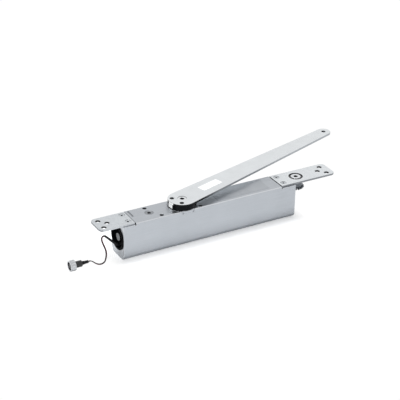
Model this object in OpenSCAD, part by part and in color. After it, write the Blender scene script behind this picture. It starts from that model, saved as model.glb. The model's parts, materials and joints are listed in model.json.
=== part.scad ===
// Concealed door closer with a slide arm and an electric hold-open unit, in millimetres.
// The origin is on the flat underside of the housing, straight below the spindle.
// X runs along the housing to the adjuster end, Y to its back face, Z up to the arm.

/* [Housing] */
// Length of the housing
body_l = 286; // [280:1:292]
// Width of the housing, front to back
body_w = 40; // [39.5:0.5:44]
// Height of the housing
body_h = 57; // [56:0.5:62]
// Radius of the two long bottom edges
edge_r = 8; // [4:0.5:9]
// Chamfer of the two long top edges
top_chamfer = 1; // [0.3:0.1:1]
// Distance from the left end to the spindle
spindle_in = 103.5; // [101:0.5:106]

/* [Main bore] */
// Diameter of the bore that runs the whole length
bore_d = 34.5; // [33.5:0.5:35.5]
// Wall between the bore and the housing top
roof_t = 9.75; // [9.5:0.25:11]
// Gap between a sliding piece and the bore, on the radius
slide_fit = 0.05; // [0.03:0.01:0.08]
// Gap between a turning shaft and its bearing, on the radius
run_fit = 0.04; // [0.02:0.01:0.08]
// Gap around a piece that is fixed in its seat, on the radius
seat_fit = 0.05; // [0.03:0.01:0.1]
// Gap between pieces that sit end to end
end_gap = 0.3; // [0.2:0.05:0.4]

/* [Spindle] */
// Diameter of the upper journal
journal_d = 20; // [18:0.5:21]
// Diameter of the lower journal
foot_d = 16; // [13:0.5:16.5]
// Outside diameter of the lower bearing
foot_bearing_d = 22; // [20:0.5:24]
// Outside diameter of the upper bearing and of the shaft seal
bearing_d = 26; // [24:0.5:28]
// Thickness of the shaft seal
seal_t = 2; // [1.5:0.1:3]
// Wall left under the lower bearing
floor_t = 4.25; // [3:0.25:6]
// Side of the square drive at the top
drive_w = 13.4; // [12:0.1:13.8]
// Diameter of the bearing cover flange
cover_d = 43.6; // [41:0.2:44.4]
// Thickness of the cover flange
cover_t = 4.5; // [3.5:0.1:5.5]
// Radius of the reliefs at the corners of the cover seat
seat_relief = 1; // [0.6:0.1:1.4]
// Diameter of the cover neck
neck_d = 31.6; // [30:0.2:32.4]
// Pitch circle of the four cover screws
cover_pcd = 37.2; // [36.8:0.2:37.8]

/* [Pinion and rack] */
// Tooth module of the pinion
pinion_m = 1.75; // [1.6:0.05:1.8]
// Number of pinion teeth
pinion_z = 12; // [12:1:12]
// Height of the pinion
pinion_h = 20; // [14:1:24]
// Angle of the tooth flanks
flank_angle = 25; // [24:0.5:26]
// Backlash taken from each tooth
backlash = 0.12; // [0.1:0.01:0.2]
// How far the arm swings, in degrees
swing = 120; // [90:5:125]

/* [Piston] */
// Length of the solid head towards the left end
head_l = 15; // [12:0.5:17]
// Length of the solid foot towards the spring
foot_l = 15; // [12:0.5:18]
// Space between the pinion and the ends of the piston window
window_gap = 1.25; // [1:0.05:2]
// Width of a piston seal
ring_w = 3; // [2:0.5:4]
// Depth of a seal groove
ring_depth = 2; // [1.5:0.1:2.5]
// Diameter of the spring guide
guide_d = 17; // [16:0.2:17.2]
// Length of the spring guide
guide_l = 8; // [5:0.5:10]
// Diameter of the check valve ball
ball_d = 5; // [4:0.5:6]
// Diameter of the oil way through the head
oil_way_d = 3; // [2.5:0.5:3.5]
// Space between the piston head and the valve block
chamber_gap = 5; // [4:0.1:6]

/* [Closing spring] */
// Wire diameter of the closing spring
wire_d = 6; // [5:0.2:6.2]
// Outside diameter of the closing spring
spring_d = 31.5; // [30.5:0.1:32]
// Number of curls
spring_turns = 12; // [9:1:12]

/* [Spring adjuster] */
// Length of the spring nut
nut_l = 10; // [8:0.5:12]
// Diameter of the adjusting spindle
rod_d = 10; // [8:0.5:11]
// Length of spindle that stays past the nut when it is drawn up fully
thread_spare = 18; // [10:1:22]
// Travel of the nut over the whole adjustment
nut_travel = 12; // [9:0.5:13]
// Diameter of the thrust collar
collar_d = 18; // [15:0.5:20]
// Thickness of the thrust collar
collar_t = 3; // [2.5:0.1:4]
// Thickness of the thrust washer
washer_t = 1.5; // [1:0.1:2]
// Length of the right end plug
plug_l = 15; // [12:0.5:17]
// Depth of the right end plug below the end of the housing
plug_in = 4.5; // [4:0.1:6]
// Thickness of the wire ring that holds the plug
clip_t = 1.4; // [1:0.1:1.8]
// Wire thickness of the plug seals
oring_d = 2.4; // [2:0.1:2.8]
// Module of the bevel gears at their large end
bevel_m = 1.6; // [1.4:0.05:1.6]
// Number of teeth on each bevel gear
bevel_z = 16; // [16:2:16]
// Face width of the bevel teeth
bevel_face = 5.5; // [4:0.5:5.5]
// Distance from the right end to the adjuster axis
adjuster_out = 12; // [11.5:0.1:13]
// Diameter of the adjuster head
adjuster_d = 15; // [13:0.5:15.5]
// Diameter of the hub above the bevel teeth
gear_hub_d = 21; // [20:0.5:22]
// Diameter of the dark bush around the head
bush_d = 21.4; // [20:0.2:23]
// How far the bush lies below the plate face
bush_drop = 1.2; // [0.8:0.1:1.6]
// Width across the flats of the adjuster socket
adjuster_hex = 6; // [5:0.5:6]
// Depth of the adjuster socket
socket_depth = 5; // [4:0.5:6]

/* [Mounting plates] */
// Thickness of the plates
plate_t = 3; // [2.5:0.1:4]
// How far the sides of the plates lie inside the sides of the housing
plate_inset = 2; // [1:0.5:3]
// How far the plates stand above the housing top
plate_proud = 0.6; // [0.2:0.1:0.8]
// Radius of the outer corners of the plates
plate_corner = 7; // [4:0.5:9]
// Length of the left seat on the housing
left_seat = 19.2; // [18:0.1:20]
// Length of the right seat on the housing
right_seat = 23.8; // [22:0.1:25]
// Width of the gap at each joint line
joint_gap = 1; // [0.5:0.1:1.2]
// Depth of the relief groove under each joint line
relief_depth = 1.8; // [1.2:0.1:2]
// How far the left plate stands out past the housing
left_out = 35.1; // [32:0.1:36]
// How far the right plate stands out past the housing
right_out = 72; // [66:0.5:74]
// Distance from the left end to the left plate screws
left_screw_in = 11.5; // [10:0.5:12.5]
// Distance from the right end to the right plate screws
right_screw_in = 16; // [15:0.5:17]
// Distance of the plate screws from the middle line
screw_y = 10; // [8:0.5:12]
// Distance of the outer left fixing holes past the housing
left_fix_outer = 26; // [25:0.5:27]
// Distance of the inner left fixing hole past the housing
left_fix_inner = 16.5; // [14:0.5:17]
// Distance of the outer right fixing holes past the housing
right_fix_outer = 61; // [60:0.5:62]
// Distance of the inner right fixing hole past the housing
right_fix_inner = 51; // [48:0.5:52]
// Distance of the outer fixing holes from the middle line
fix_y = 10; // [9:0.5:11]
// Diameter of a fixing hole
fix_d = 5.2; // [4.5:0.1:5.6]
// Diameter of a fixing countersink
fix_head_d = 9; // [8:0.2:9.4]

/* [Screws] */
// Width across the flats of the small sockets
small_hex = 2.5; // [2:0.5:2.5]
// Width across the flats of the sockets of the plate screws
plate_screw_hex = 3; // [2.5:0.5:3]
// Width across the flats of the socket of the middle screw
hub_screw_hex = 6; // [5:0.5:6]
// Width across the flats of the socket of the filler plug
filler_hex = 5; // [4:0.5:6]
// Shank diameter of the plate screws
plate_screw_d = 5; // [4:0.5:5]
// Head diameter of the plate screws
plate_screw_head = 9; // [8.4:0.2:9.6]
// Length of the plate screws
plate_screw_l = 9; // [7:0.5:9.5]
// Gap around a screw shank, on the radius
screw_fit = 0.1; // [0.05:0.01:0.15]

/* [Arm] */
// Distance from the spindle to the hole at the arm end
arm_l = 323; // [280:1:340]
// Thickness of the arm
arm_t = 3.5; // [3.4:0.1:5]
// Radius of the arm around the spindle
arm_hub_r = 21; // [20:0.5:22.5]
// Radius of the arm around its end hole
arm_end_r = 11; // [9:0.5:13]
// Diameter of the end hole
arm_hole_d = 6.4; // [5:0.1:8]
// Angle of the arm to the housing at rest
arm_rest = 17.4; // [5:0.1:25]
// Height of the hub
hub_h = 6; // [5.5:0.1:9]
// Diameter of the hub
hub_d = 42; // [38:0.5:43]
// Depth of the ground flat on the back of the hub
hub_flat = 0.5; // [0.4:0.1:1.2]
// Angle by which the flat is turned from the arm's axis
hub_flat_turn = 10; // [0:1:20]
// Gap between the hub and the housing top
hub_gap = 0.8; // [0.5:0.1:1.2]
// Distance of the two small screws behind the spindle
arm_screw_back = 10.7; // [10.2:0.1:12]
// Distance of the two small screws from the arm's middle line
arm_screw_y = 10; // [9.5:0.1:11]
// Shank diameter of the small arm screws
arm_screw_d = 4; // [3:0.5:4]
// Head diameter of the small arm screws
arm_screw_head = 6.4; // [6:0.1:7]
// Shank diameter of the middle screw
hub_screw_d = 8; // [6:0.5:8]
// Head diameter of the middle screw
hub_screw_head = 13.2; // [12:0.1:13.4]
// Depth of the screw heads below the arm face
head_drop = 0.6; // [0.3:0.1:0.8]

/* [Valves] */
// Diameter of a valve screw
valve_d = 6; // [5:0.5:6.5]
// Length of a valve screw
valve_l = 9; // [7:0.5:9.5]
// Depth of the valve screws below the housing top
valve_drop = 1.2; // [0.8:0.1:1.6]
// Distance of the closing speed valve from the left end
closing_in = 50; // [48:0.5:51]
// Distance of the latching speed valve from the left end
latching_in = 63; // [61:0.5:65]
// Distance of the back check valve behind the spindle
backcheck_x = 22.5; // [22.2:0.1:27]
// Distance of the valves from the side faces
valve_in = 5.6; // [5.2:0.1:6.2]
// Diameter of the oil filler plug
filler_d = 13; // [11:0.5:14]
// Thickness of the oil filler plug
filler_t = 4.5; // [3.5:0.1:5]
// Length of the locking key slot
key_l = 17; // [12:0.5:18]
// Depth of the locking key slot
key_depth = 3; // [2:0.1:4]
// Width of the locking key slot
key_w = 2.7; // [1.8:0.1:2.8]
// Distance of the locking key from the left end
key_in = 24.5; // [23:0.5:26]

/* [Hold-open unit] */
// Depth of the cup in the left end
cup_depth = 8; // [7:0.5:9]
// Wall of the cup
cup_wall = 1.2; // [1:0.1:1.6]
// Thickness of the cup floor
cup_floor = 1.6; // [1.2:0.1:2]
// How far the flange of the cup reaches beyond the bore
cup_flange = 2; // [1:0.1:2.2]
// Thickness of the flange
cup_flange_t = 1.2; // [0.8:0.1:1.6]
// Diameter of the round post in the middle of the cup
cup_post_d = 12; // [8:0.5:14]
// Length of the post above the cup floor
cup_post_l = 7.5; // [5:0.5:8]
// Outside diameter of the magnet can
can_d = 30; // [28:0.5:32]
// Length of the magnet can
can_l = 23; // [20:0.5:24]
// Wall of the magnet can
can_wall = 1.5; // [1.2:0.1:2]
// Diameter of the magnet plunger
plunger_d = 11.8; // [10:0.2:12]
// Length of the magnet plunger
plunger_l = 14; // [12:0.5:15]
// Travel of the magnet plunger
plunger_travel = 1.5; // [1:0.1:2]
// Length of the return spring
return_l = 5; // [4.5:0.1:6]
// Wire diameter of the return spring
return_wire = 0.8; // [0.6:0.1:0.9]
// Number of curls of the return spring
return_turns = 3; // [3:1:3]
// Diameter of the cable gland in the cup
gland_d = 5.6; // [4.6:0.2:5.8]
// How far the gland stands out of the cup floor
gland_l = 2.5; // [2:0.1:3]

/* [Cable and plug] */
// Diameter of the cable
cable_d = 2.6; // [2.2:0.1:2.8]
// Diameter of the sleeve behind the plug
sleeve_d = 5.8; // [4.6:0.1:6.2]
// Length of the sleeve
sleeve_l = 10.5; // [8:0.5:12]
// Diameter of the plug body
plug_body_d = 9.4; // [8.4:0.1:10]
// Length of the plug body
plug_body_l = 12; // [10:0.5:14]
// Diameter of the coupling ring
ring_d = 15.6; // [15:0.1:16.4]
// Length of the coupling ring
ring_l = 8; // [6:0.5:9]
// Wall of the coupling ring, and the gap inside it
ring_wall = 1.7; // [1.2:0.1:1.8]
// Radius of the circle that the four contacts stand on
contact_circle = 2.6; // [2:0.1:2.8]
// Number of grip grooves on the coupling ring
ring_grooves = 12; // [8:1:18]

/* [Labels] */
// Distance from the blank type plate to the joint line of the right plate
type_gap = 18.7; // [10:0.1:40]
// Width of the blank type plate
type_w = 31; // [24:0.5:34]
// Distance of the type plate from the spindle
type_x = 52; // [49:0.5:54]
// Length of the blank arm label
label_l = 38; // [25:1:45]
// Width of the blank arm label
label_w = 14; // [10:0.5:16]
// Distance of the arm label from the spindle
label_x = 40; // [34:0.5:44]
// How far the type plate lies behind the middle line
type_y = 1.5; // [0:0.5:2]
// Thickness of the labels
label_t = 0.2; // [0.1:0.05:0.3]

/* [Hidden] */

$fn = 48;
// Overshoot of every cutting shape
cut = 0.5;

left_x = -spindle_in;
right_x = body_l - spindle_in;
half_w = body_w / 2;
bore_r = bore_d / 2;
bore_z = body_h - roof_t - bore_r;
bore_top = bore_z + bore_r;
bore_low = bore_z - bore_r;

// Spindle stack, from the pocket in the floor of the bore up to the arm
foot_z = floor_t + end_gap;
pinion_low = bore_z - pinion_h / 2;
pinion_top = bore_z + pinion_h / 2;
neck_low = bore_top + end_gap;
cover_seat = body_h - cover_t - seat_fit;
seal_low = body_h - seal_t - end_gap;
journal_low = neck_low - 1;
journal_top = body_h + end_gap;
hub_low = body_h + hub_gap;
arm_low = hub_low + hub_h;
arm_top = arm_low + arm_t;
drive_top = arm_low - end_gap;
arm_screw_seat = arm_low + 0.4 * arm_t;
arm_screw_depth = 4.5;
hub_thread_l = 14;
cover_screw_d = 3;
cover_screw_head = 5.4;
cover_screw_l = 7;
cover_screw_hex = 2;
cover_screw_drop = 0.1;

// Pinion and rack
pitch_r = pinion_m * pinion_z / 2;
pinion_tip = pitch_r + pinion_m;
pinion_root = pitch_r - 1.25 * pinion_m;
base_r = pitch_r * cos(flank_angle);
tooth_pitch = PI * pinion_m;
travel = pitch_r * swing * PI / 180;
rack_root = pitch_r + 1.25 * pinion_m;
rack_tip = pitch_r - pinion_m;

// Piston, in the rest position with its window around the pinion
window_x1 = -pinion_tip - travel - window_gap;
window_x2 = pinion_tip + window_gap;
piston_x1 = window_x1 - head_l;
piston_x2 = window_x2 + foot_l;
piston_r = bore_r - 2 * slide_fit;
seal_r = bore_r - slide_fit;
front_wall_y = -pinion_tip - 0.75 * window_gap;
tooth_first = ceil((window_x1 + tooth_pitch) / tooth_pitch);
tooth_last = floor((window_x2 - tooth_pitch / 2) / tooth_pitch);

// Right end, from the bevel gears back to the closing spring
bevel_r = bevel_m * bevel_z / 2;
adjuster_x = right_x + adjuster_out;
plug_x2 = right_x - plug_in;
plug_x1 = plug_x2 - plug_l;
collar_x2 = plug_x1 - washer_t - 2 * end_gap;
collar_x1 = collar_x2 - collar_t;
nut_x2 = collar_x1 - 2 * end_gap;
nut_x1 = nut_x2 - nut_l;
spring_x1 = piston_x2 + end_gap;
spring_x2 = nut_x1 - end_gap;
rod_x1 = nut_x1 - nut_travel - thread_spare;
rod_room_r = rod_d / 2 + 2;
clip_x1 = plug_x2 + end_gap;
clip_x2 = clip_x1 + clip_t;
stem_r = adjuster_d / 2 - 3;

// Bevel teeth, laid out on the back cone of a gear whose apex is the meeting point of the axes
bevel_angle = 45;
bevel_flank = 20;
back_r = bevel_r / cos(bevel_angle);
back_base = back_r * cos(bevel_flank);
back_root = back_r - 1.25 * bevel_m;
back_tip = back_r + 0.95 * bevel_m;
bevel_keep = 1 - bevel_face / back_r;
bevel_sink = 0.4;
clip_open = 10;

// Valves, plates and labels
valve_y = half_w - valve_in;
valve_socket = 2.5;
valve_waist_l = 1.8;
valve_seal_z = body_h - valve_drop - valve_l / 2;
plate_w = body_w - 2 * plate_inset;
plate_top = body_h + plate_proud;
plate_seat = plate_top - plate_t;
left_joint = left_x + left_seat;
right_joint = right_x - right_seat;
type_l = right_joint - type_gap - type_x;
screw_drop = 0.4;

// Left end, from the cup in to the valve block
cup_x = left_x + cup_depth;
can_x1 = cup_x + cup_floor + end_gap;
can_x2 = can_x1 + can_l;
block_x1 = can_x2 + end_gap;
block_x2 = piston_x1 - chamber_gap;
coil_r1 = plunger_d / 2 + end_gap;
coil_r2 = can_d / 2 - can_wall - seat_fit;
plunger_x1 = can_x1 + can_wall + return_l + 2 * end_gap;
plunger_x2 = plunger_x1 + plunger_l;
nose_r = 2.5;
nose_l = 2;
cable_y = 0.8;
cable_z = bore_z - 12.6;
gland_x = cup_x - gland_l;

// Route of the cable from the gland to the sleeve of the plug
plug_y = -8.5;
plug_z = ring_d / 2;
lying_z = cable_d / 2;
cable_end = -154;
ROUTE = [
    [gland_x, cable_y, cable_z], [gland_x - 3.5, cable_y - 0.3, cable_z - 0.1],
    [-105, -0.2, cable_z + 1.4], [-108.3, 0.8, cable_z + 3.9], [-111.5, 2.3, cable_z + 6.7],
    [-114.6, 3.7, cable_z + 9.6], [-117.2, 5.5, cable_z + 12], [-118.7, 8.7, cable_z + 13],
    [-119.3, 12.4, cable_z + 12], [-121, 14.9, cable_z + 9], [-121.6, 15.1, cable_z + 5.1],
    [-121.4, 13.2, cable_z + 1.6], [-120.7, 11, cable_z - 1.9], [-120, 8.4, cable_z - 5.3],
    [-119.9, 5.2, 8.8], [-121.1, 1.6, 5.9], [-123.3, -2.5, 4.4], [-125.9, -5.9, 2],
    [-129, -9.5, lying_z], [-132.7, -12.3, lying_z + 0.1], [-136.8, -13.8, lying_z + 0.4],
    [-141, -13.2, lying_z + 1.1], [-144.4, -10.7, 3.8], [-147.5, -8.8, plug_z - 1.6],
    [-150.8, plug_y, plug_z], [cable_end, plug_y, plug_z]
];
contact_r = 0.45;
groove_r = 0.8;
groove_at = ring_d / 2 + 0.35;
sleeve_x1 = cable_end - sleeve_l;
plug_body_x1 = sleeve_x1 - plug_body_l;
ring_x2 = plug_body_x1 + 1.5;
ring_x1 = ring_x2 - ring_l;

// Unit vector
function unit(v) = v / norm(v);

// Direction of a route at point i
function heading(p, i) = unit(p[min(i + 1, len(p) - 1)] - p[max(i - 1, 0)]);

// Sideways vectors of the rings, carried along the route without twist
function sides(p, i, last, out) =
    i >= len(p) ? out : let (
        t = heading(p, i),
        n = unit(last - (last * t) * t)
    ) sides(p, i + 1, n, concat(out, [n]));

// Involute function in radians, of an angle in degrees
function inv(a) = tan(a) - a * PI / 180;

// Half the angle that a spur tooth fills at radius r
function spur_half(r) =
    (tooth_pitch / 2 - backlash) / (2 * pitch_r) * 180 / PI
    + (inv(flank_angle) - inv(r > base_r ? acos(base_r / r) : 0)) * 180 / PI;

// Half the azimuth that a bevel tooth fills where the back cone is r from its apex
function bevel_half(r) =
    ((PI * bevel_m / 2 - backlash) / (2 * back_r)
    + inv(bevel_flank) - inv(r > back_base ? acos(back_base / r) : 0)) * 180 / PI / cos(bevel_angle);

// Point of a bevel gear at back cone distance r and azimuth a, with the apex at the origin
function bevel_point(r, a, k) = let (
        across = r * cos(bevel_angle),
        up = bevel_r - (r - back_r) * sin(bevel_angle)
    ) k * [across * cos(a), across * sin(a), up];

module x_cyl(r, x1, x2, y = 0, z = 0) {
    translate([x1, y, z]) rotate([0, 90, 0]) cylinder(r = r, h = x2 - x1);
}

module z_cyl(r, z1, z2, x = 0, y = 0) {
    translate([x, y, z1]) cylinder(r = r, h = z2 - z1);
}

module z_hex(af, z1, z2, x = 0, y = 0) {
    translate([x, y, z1]) cylinder(r = af / sqrt(3), h = z2 - z1, $fn = 6);
}

// Tube of round or many-sided section, swept along the points p
module sweep_tube(p, r, count, side) {
    n = sides(p, 0, side, []);
    rings = [
        for (i = [0 : len(p) - 1]) for (j = [0 : count - 1]) let (
            t = heading(p, i),
            b = cross(t, n[i]),
            a = 360 * (j + 0.5) / count
        ) p[i] + r * (cos(a) * n[i] + sin(a) * b)
    ];
    last = len(p) - 1;
    walls = [
        for (i = [0 : last - 1]) for (j = [0 : count - 1]) let (
            a = i * count + j,
            b = i * count + (j + 1) % count
        ) each [[a, a + count, b + count], [a, b + count, b]]
    ];
    lids = [
        for (j = [1 : count - 2]) each [
            [0, j, j + 1], [last * count, last * count + j + 1, last * count + j]
        ]
    ];
    polyhedron(points = rings, faces = concat(walls, lids));
}

// Coil spring along X between x1 and x2, with a nearly closed turn at each end
module coil(mean_r, wire, turns, x1, x2) {
    steps = 8;
    dead = wire + 0.5;
    run = x2 - x1 - wire - 2 * dead;
    points = [
        for (s = [0 : turns * steps]) let (
            t = s / steps,
            x = x1 + wire / 2
                + dead * min(t, 1)
                + run * max(0, min(t - 1, turns - 2)) / (turns - 2)
                + dead * max(0, t - turns + 1)
        ) [x, mean_r * cos(360 * t), bore_z + mean_r * sin(360 * t)]
    ];
    echo(least_gap = min(dead, run / (turns - 2)) - wire);
    sweep_tube(points, wire / 2, 6, [0, 1, 0]);
}

// Countersunk screw with its top at z = 0 and a hexagon socket
module csk_screw(head, shank, length, af) {
    difference() {
        union() {
            translate([0, 0, -(head - shank) / 2])
                cylinder(r1 = shank / 2, r2 = head / 2, h = (head - shank) / 2);
            translate([0, 0, -length]) cylinder(r = shank / 2, h = length - (head - shank) / 2);
        }
        z_hex(af, -shank * 0.45, cut);
    }
}

// Hole for a countersunk screw whose top is at z = 0, with a drop below the face
module csk_hole(head, shank, length, drop) {
    translate([0, 0, -(head - shank) / 2])
        cylinder(r1 = shank / 2 + screw_fit, r2 = head / 2 + screw_fit, h = (head - shank) / 2);
    translate([0, 0, -length - end_gap]) cylinder(r = shank / 2 + screw_fit, h = length + end_gap);
    cylinder(r = head / 2 + screw_fit, h = drop + cut);
}

// Ring of round section around X
module x_ring(mean_r, wire, x) {
    translate([x, 0, bore_z]) rotate([0, 90, 0])
        rotate_extrude() translate([mean_r, 0]) circle(d = wire, $fn = 24);
}

// Cross section of the housing, with round bottom edges and chamfered top edges
module housing_section() {
    difference() {
        union() {
            translate([-half_w, edge_r]) square([body_w, body_h - edge_r]);
            translate([-half_w + edge_r, 0]) square([body_w - 2 * edge_r, edge_r * 1.5]);
            for (s = [-1, 1]) translate([s * (half_w - edge_r), edge_r]) circle(r = edge_r);
        }
        top_corners();
    }
}

// What the chamfers of the top edges take off a cross section
module top_corners() {
    for (s = [-1, 1]) polygon([
        [s * (half_w - top_chamfer), body_h + cut], [s * (half_w - top_chamfer), body_h],
        [s * half_w, body_h - top_chamfer], [s * (half_w + cut), body_h - top_chamfer],
        [s * (half_w + cut), body_h + cut]
    ]);
}

module plate_screw_places(x) {
    for (s = [-1, 1]) translate([x, s * screw_y, plate_top - screw_drop]) children();
}

module valve_places() {
    translate([left_x + closing_in, valve_y, 0]) children();
    translate([left_x + latching_in, -valve_y, 0]) children();
    translate([backcheck_x, -valve_y, 0]) children();
}

module cover_screw_places() {
    for (a = [45 : 90 : 315]) rotate([0, 0, a]) translate([cover_pcd / 2, 0, 0]) children();
}

// Corners where the round cover is cut off by the sides of the housing
module seat_corners() {
    if (cover_d > body_w) {
        x = sqrt(cover_d * cover_d - body_w * body_w) / 2;
        for (s = [-1, 1]) for (t = [-1, 1]) z_cyl(seat_relief, cover_seat, body_h + cut, s * x, t * half_w);
    }
}

module housing() {
    color("silver") difference() {
        translate([left_x, 0, 0]) rotate([90, 0, 90]) linear_extrude(body_l) housing_section();
        x_cyl(bore_r, left_x - cut, right_x + cut, 0, bore_z);
        // Spindle pocket, cover seat and the way for the pinion
        z_cyl(foot_bearing_d / 2 + seat_fit, floor_t, bore_z);
        z_cyl(neck_d / 2 + seat_fit, bore_z, body_h + cut);
        z_cyl(cover_d / 2 + 2 * seat_fit, cover_seat, body_h + cut);
        seat_corners();
        cover_screw_places() z_cyl(cover_screw_d / 2 + screw_fit, body_h - cover_screw_l - end_gap, body_h);
        // Seats of the mounting plates with their relief grooves and screw holes
        translate([left_x - cut, -half_w - cut, plate_seat])
            cube([left_seat + cut + joint_gap / 2, body_w + 2 * cut, plate_t + cut]);
        translate([left_joint - joint_gap / 2, -half_w - cut, plate_seat - relief_depth])
            cube([joint_gap, body_w + 2 * cut, plate_t + cut]);
        translate([right_joint - joint_gap / 2, -half_w - cut, plate_seat])
            cube([right_seat + cut + joint_gap / 2, body_w + 2 * cut, plate_t + cut]);
        translate([right_joint - joint_gap / 2, -half_w - cut, plate_seat - relief_depth])
            cube([joint_gap, body_w + 2 * cut, plate_t + cut]);
        plate_screw_places(left_x + left_screw_in)
            csk_hole(plate_screw_head, plate_screw_d, plate_screw_l, screw_drop);
        plate_screw_places(right_x - right_screw_in)
            csk_hole(plate_screw_head, plate_screw_d, plate_screw_l, screw_drop);
        // Valve holes, filler hole and key slot
        valve_places() z_cyl(valve_d / 2 + seat_fit, body_h - valve_drop - valve_l - end_gap, body_h + cut);
        z_cyl(filler_d / 2 + seat_fit, body_h - filler_t - 2 * end_gap, body_h + cut, left_x + closing_in);
        z_cyl(1, bore_z, body_h, left_x + closing_in);
        valve_places() z_cyl(0.9, bore_z, body_h);
        translate([left_x + key_in - key_w / 2, 0, body_h - key_depth])
            cube([key_w, key_l, key_depth + cut]);
        // Groove for the wire ring of the right plug
        x_cyl(bore_r + clip_t / 2, clip_x1 - end_gap / 2, clip_x2 + end_gap / 2, 0, bore_z);
    }
}

// Outline of a mounting plate with round outer corners at x = far
module plate_outline(near, far) {
    s = sign(far - near);
    half = plate_w / 2;
    inner = far - s * plate_corner;
    translate([min(near, inner), -half]) square([abs(inner - near), plate_w]);
    translate([min(inner, far), -half + plate_corner]) square([plate_corner, plate_w - 2 * plate_corner]);
    for (t = [-1, 1]) translate([inner, t * (half - plate_corner)]) circle(r = plate_corner);
}

// Countersunk hole for a fixing screw, through a plate
module fixing_hole(x, y) {
    depth = (fix_head_d - fix_d) / 2;
    z_cyl(fix_d / 2, plate_seat - cut, plate_top + cut, x, y);
    translate([x, y, plate_top - depth]) cylinder(r1 = fix_d / 2, r2 = fix_head_d / 2, h = depth);
    z_cyl(fix_head_d / 2, plate_top, plate_top + cut, x, y);
}

module left_mounting_plate() {
    color("lightgray") difference() {
        translate([0, 0, plate_seat]) linear_extrude(plate_t)
            plate_outline(left_joint - joint_gap / 2, left_x - left_out);
        plate_screw_places(left_x + left_screw_in)
            csk_hole(plate_screw_head, plate_screw_d, plate_screw_l, screw_drop);
        for (s = [-1, 1]) fixing_hole(left_x - left_fix_outer, s * fix_y);
        fixing_hole(left_x - left_fix_inner, 0);
    }
}

module right_mounting_plate() {
    color("lightgray") difference() {
        translate([0, 0, plate_seat]) linear_extrude(plate_t)
            plate_outline(right_joint + joint_gap / 2, right_x + right_out);
        plate_screw_places(right_x - right_screw_in)
            csk_hole(plate_screw_head, plate_screw_d, plate_screw_l, screw_drop);
        for (s = [-1, 1]) fixing_hole(right_x + right_fix_outer, s * fix_y);
        fixing_hole(right_x + right_fix_inner, 0);
        z_cyl(bush_d / 2 + seat_fit, plate_seat - cut, plate_top + cut, adjuster_x);
    }
}

module left_plate_screws() {
    color("gray") plate_screw_places(left_x + left_screw_in)
        csk_screw(plate_screw_head, plate_screw_d, plate_screw_l, plate_screw_hex);
}

module right_plate_screws() {
    color("gray") plate_screw_places(right_x - right_screw_in)
        csk_screw(plate_screw_head, plate_screw_d, plate_screw_l, plate_screw_hex);
}

module arm_screw_places(z) {
    for (s = [-1, 1]) translate([-arm_screw_back, s * arm_screw_y, z]) children();
}

module arm() {
    color("lightgray") rotate([0, 0, arm_rest]) difference() {
        union() {
            z_cyl(arm_hub_r, arm_low, arm_top);
            z_cyl(arm_end_r, arm_low, arm_top, arm_l);
            translate([0, 0, arm_low]) linear_extrude(arm_t)
                polygon([[0, -arm_hub_r], [arm_l, -arm_end_r], [arm_l, arm_end_r], [0, arm_hub_r]]);
        }
        z_cyl(arm_hole_d / 2, arm_low - cut, arm_top + cut, arm_l);
        translate([0, 0, arm_top - head_drop]) csk_hole(hub_screw_head, hub_screw_d, arm_t, head_drop);
        arm_screw_places(0) {
            z_cyl(arm_screw_d / 2 + screw_fit, arm_low - cut, arm_top);
            z_cyl(arm_screw_head / 2 + screw_fit, arm_screw_seat, arm_top + cut);
        }
    }
}

module arm_hub() {
    color("silver") rotate([0, 0, arm_rest]) difference() {
        z_cyl(hub_d / 2, hub_low, arm_low);
        translate([-drive_w / 2 - seat_fit, -drive_w / 2 - seat_fit, hub_low - cut])
            cube([drive_w + 2 * seat_fit, drive_w + 2 * seat_fit, hub_h + 2 * cut]);
        rotate([0, 0, -hub_flat_turn]) translate([-hub_d, -hub_d, hub_low - cut])
            cube([hub_d / 2 + hub_flat, 2 * hub_d, hub_h + 2 * cut]);
        arm_screw_places(0) z_cyl(arm_screw_d / 2 + screw_fit, arm_low - arm_screw_depth, arm_low + cut);
    }
}

module arm_screws() {
    color("gray") rotate([0, 0, arm_rest]) arm_screw_places(0) difference() {
        union() {
            z_cyl(arm_screw_d / 2, arm_low - arm_screw_depth + end_gap, arm_screw_seat + cut);
            z_cyl(arm_screw_head / 2, arm_screw_seat, arm_top - head_drop);
        }
        z_hex(small_hex, arm_screw_seat + cut, arm_top);
    }
}

module hub_screw() {
    color("gray") rotate([0, 0, arm_rest]) translate([0, 0, arm_top - head_drop])
        csk_screw(hub_screw_head, hub_screw_d, hub_thread_l, hub_screw_hex);
}

// Outline of the pinion, with a gap between two teeth facing +Y
module pinion_outline() {
    radii = [pinion_root, base_r, for (k = [1 : 5]) base_r + (pinion_tip - base_r) * k / 5];
    polygon([
        for (i = [0 : pinion_z - 1]) let (mid = 90 + 180 / pinion_z + 360 * i / pinion_z) each concat(
            [for (r = radii) r * [cos(mid - spur_half(r)), sin(mid - spur_half(r))]],
            [for (k = [len(radii) - 1 : -1 : 0]) let (r = radii[k])
                r * [cos(mid + spur_half(r)), sin(mid + spur_half(r))]]
        )
    ]);
}

module spindle() {
    color("dimgray") difference() {
        union() {
            z_cyl(foot_d / 2, foot_z, pinion_low + cut);
            translate([0, 0, pinion_low]) linear_extrude(pinion_h) pinion_outline();
            z_cyl(foot_d / 2, pinion_top - cut, journal_low + cut);
            z_cyl(journal_d / 2, journal_low, journal_top);
            rotate([0, 0, arm_rest]) translate([-drive_w / 2, -drive_w / 2, journal_top - cut])
                cube([drive_w, drive_w, drive_top - journal_top + cut]);
        }
        z_cyl(hub_screw_d / 2 + screw_fit, arm_top - head_drop - hub_thread_l - end_gap, drive_top + cut);
    }
}

module upper_bearing() {
    color("goldenrod") difference() {
        z_cyl(bearing_d / 2, neck_low + end_gap, seal_low - end_gap);
        z_cyl(journal_d / 2 + run_fit, neck_low, seal_low);
    }
}

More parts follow.
